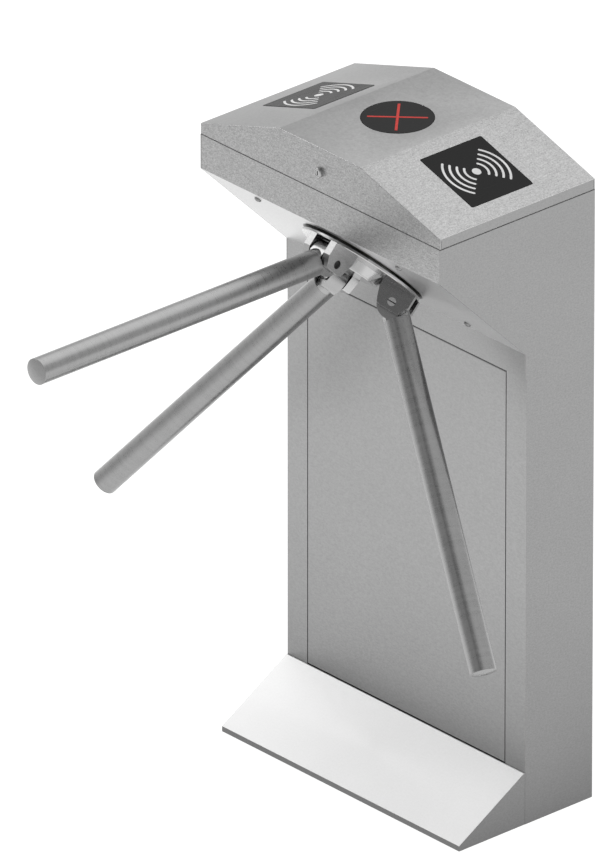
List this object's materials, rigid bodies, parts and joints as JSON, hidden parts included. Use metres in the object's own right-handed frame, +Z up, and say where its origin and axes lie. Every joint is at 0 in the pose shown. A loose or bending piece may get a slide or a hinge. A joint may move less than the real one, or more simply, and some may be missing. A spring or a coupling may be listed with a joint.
{
  "type": "tripod turnstile",
  "caption": "Free-standing tripod turnstile: slim sheet-steel cabinet with an overhanging head, slanted rotor with drop arms, card readers and a hinged lid.",
  "frame": {"origin": "centre of the rectangular footprint, on the floor", "axes": "+Z up; +X along the walking direction; -Y into the passage, where the level arm points"},
  "size_m": [0.7884, 0.7993, 0.9805],
  "materials": {
    "cabinet_steel": "fine brushed, satin",
    "lid_steel": "fine brushed, satin",
    "foot_steel": "fine brushed, satin",
    "arm_steel": "ground round the tube, satin",
    "root_steel": "polished",
    "hub_steel": "satin polished",
    "pin_steel": "dark oiled",
    "floor_steel": "galvanised",
    "zinc_steel": "zinc plated",
    "plate_steel": "dark powder coat",
    "machined_steel": "turned",
    "cast_aluminium": "machined casting",
    "bearing_steel": "ground",
    "gear_brass": "machined",
    "coil_metal": "varnished coil in a plated frame",
    "damper_black": "satin black",
    "black_glass": "gloss black",
    "red_light": "translucent red",
    "black_plastic": "matt",
    "grey_plastic": "matt",
    "rubber": "matt",
    "lock_chrome": "polished",
    "board_green": "solder mask",
    "supply_metal": "stamped sheet"
  },
  "bodies": {
    "cabinet": {"floor_plate": "floor_steel", "side_panel_left": "cabinet_steel", "side_panel_right": "cabinet_steel", "back_panel": "cabinet_steel", "front_cowl": "cabinet_steel", "front_panel": "cabinet_steel", "foot_cover": "foot_steel", "panel_screws": "zinc_steel", "cable_bush": "rubber", "hinge_cabinet_leaf": "zinc_steel", "hinge_pin": "zinc_steel", "lock_strike": "zinc_steel", "underside_screws": "pin_steel", "spacer_tubes": "machined_steel", "front_plate": "plate_steel", "plate_pillars": "machined_steel", "rear_plate": "plate_steel", "bearing_housings": "cast_aluminium", "shaft_bearings": "bearing_steel", "pawl_pins": "machined_steel", "solenoids": "coil_metal", "damper_body": "damper_black", "sensor_bracket": "zinc_steel", "sensor_forks": "black_plastic", "electronics_tray": "zinc_steel", "control_board": "board_green", "power_supply": "supply_metal"},
    "lid": {"lid_shell": "lid_steel", "hinge_lid_leaf": "zinc_steel", "lid_seal": "rubber", "reader_windows": "black_glass", "reader_modules": "grey_plastic", "indicator_window": "black_glass", "cross_light": "red_light", "indicator_housing": "grey_plastic", "lock_barrel": "lock_chrome"},
    "lock": {"lock_plug": "lock_chrome", "lock_cam": "zinc_steel"},
    "rotor": {"rotor_hub": "hub_steel", "hub_cap": "hub_steel", "rotor_shaft": "machined_steel", "shaft_nuts": "zinc_steel", "locking_disc": "machined_steel", "main_gear": "gear_brass", "encoder_disc": "black_plastic", "pivot_pins": "pin_steel"},
    "arm_1": {"arm_root_1": "root_steel", "arm_tube_1": "arm_steel", "arm_cap_1": "arm_steel"},
    "arm_2": {"arm_root_2": "root_steel", "arm_tube_2": "arm_steel", "arm_cap_2": "arm_steel"},
    "arm_3": {"arm_root_3": "root_steel", "arm_tube_3": "arm_steel", "arm_cap_3": "arm_steel"},
    "damper": {"damper_pinion": "machined_steel"},
    "left_pawl": {"pawl_left": "machined_steel"},
    "right_pawl": {"pawl_right": "machined_steel"},
    "left_plunger": {"plunger_left": "machined_steel"},
    "right_plunger": {"plunger_right": "machined_steel"}
  },
  "joints": [
    {"name": "rotor_spin", "type": "hinge", "parent": "cabinet", "child": "rotor", "pos_m": [0, -0.081, 0.7855], "axis": [0, -0.7071, -0.7071], "continuous": true},
    {"name": "arm_drop_1", "type": "hinge", "parent": "rotor", "child": "arm_1", "pos_m": [0.00071, -0.15029, 0.81237], "axis": [0.9999, 0.0074, -0.0074], "range_deg": [0, 90]},
    {"name": "arm_drop_2", "type": "hinge", "parent": "rotor", "child": "arm_2", "pos_m": [-0.05924, -0.07861, 0.74068], "axis": [0.4909, 0.616, -0.616], "range_deg": [-90, 0]},
    {"name": "arm_drop_3", "type": "hinge", "parent": "rotor", "child": "arm_3", "pos_m": [0.05853, -0.07774, 0.73981], "axis": [-0.509, 0.6086, -0.6086], "range_deg": [0, 55]},
    {"name": "lid_hinge", "type": "hinge", "parent": "cabinet", "child": "lid", "pos_m": [0, 0.1247, 0.9142], "axis": [-1, 0, 0], "range_deg": [0, 95]},
    {"name": "lock_turn", "type": "hinge", "parent": "lid", "child": "lock", "pos_m": [0, -0.1585, 0.9435], "axis": [0, -1, 0], "range_deg": [0, 90]},
    {"name": "damper_spin", "type": "hinge", "parent": "cabinet", "child": "damper", "pos_m": [-0.06495, 0.00209, 0.81555], "axis": [0, -0.7071, -0.7071], "continuous": true},
    {"name": "pawl_left_swing", "type": "hinge", "parent": "cabinet", "child": "left_pawl", "pos_m": [-0.07, -0.08312, 0.85126], "axis": [0, -0.7071, -0.7071], "range_deg": [0, 12], "stiffness_Nm_per_rad": 1, "springref_deg": -17.19},
    {"name": "plunger_left_slide", "type": "slide", "parent": "cabinet", "child": "left_plunger", "axis": [0, 0.7071, -0.7071], "range_m": [0, 0.0123]},
    {"name": "pawl_right_swing", "type": "hinge", "parent": "cabinet", "child": "right_pawl", "pos_m": [0.07, -0.08312, 0.85126], "axis": [0, 0.7071, 0.7071], "range_deg": [0, 12], "stiffness_Nm_per_rad": 1, "springref_deg": -17.19},
    {"name": "plunger_right_slide", "type": "slide", "parent": "cabinet", "child": "right_plunger", "axis": [0, 0.7071, -0.7071], "range_m": [0, 0.0123]}
  ],
  "couplings": [
    {"joint": "damper_spin", "follows": "rotor_spin", "ratio": -2.75},
    {"joint": "plunger_left_slide", "follows": "pawl_left_swing", "m_per_rad": 0.058},
    {"joint": "plunger_right_slide", "follows": "pawl_right_swing", "m_per_rad": 0.058}
  ]
}
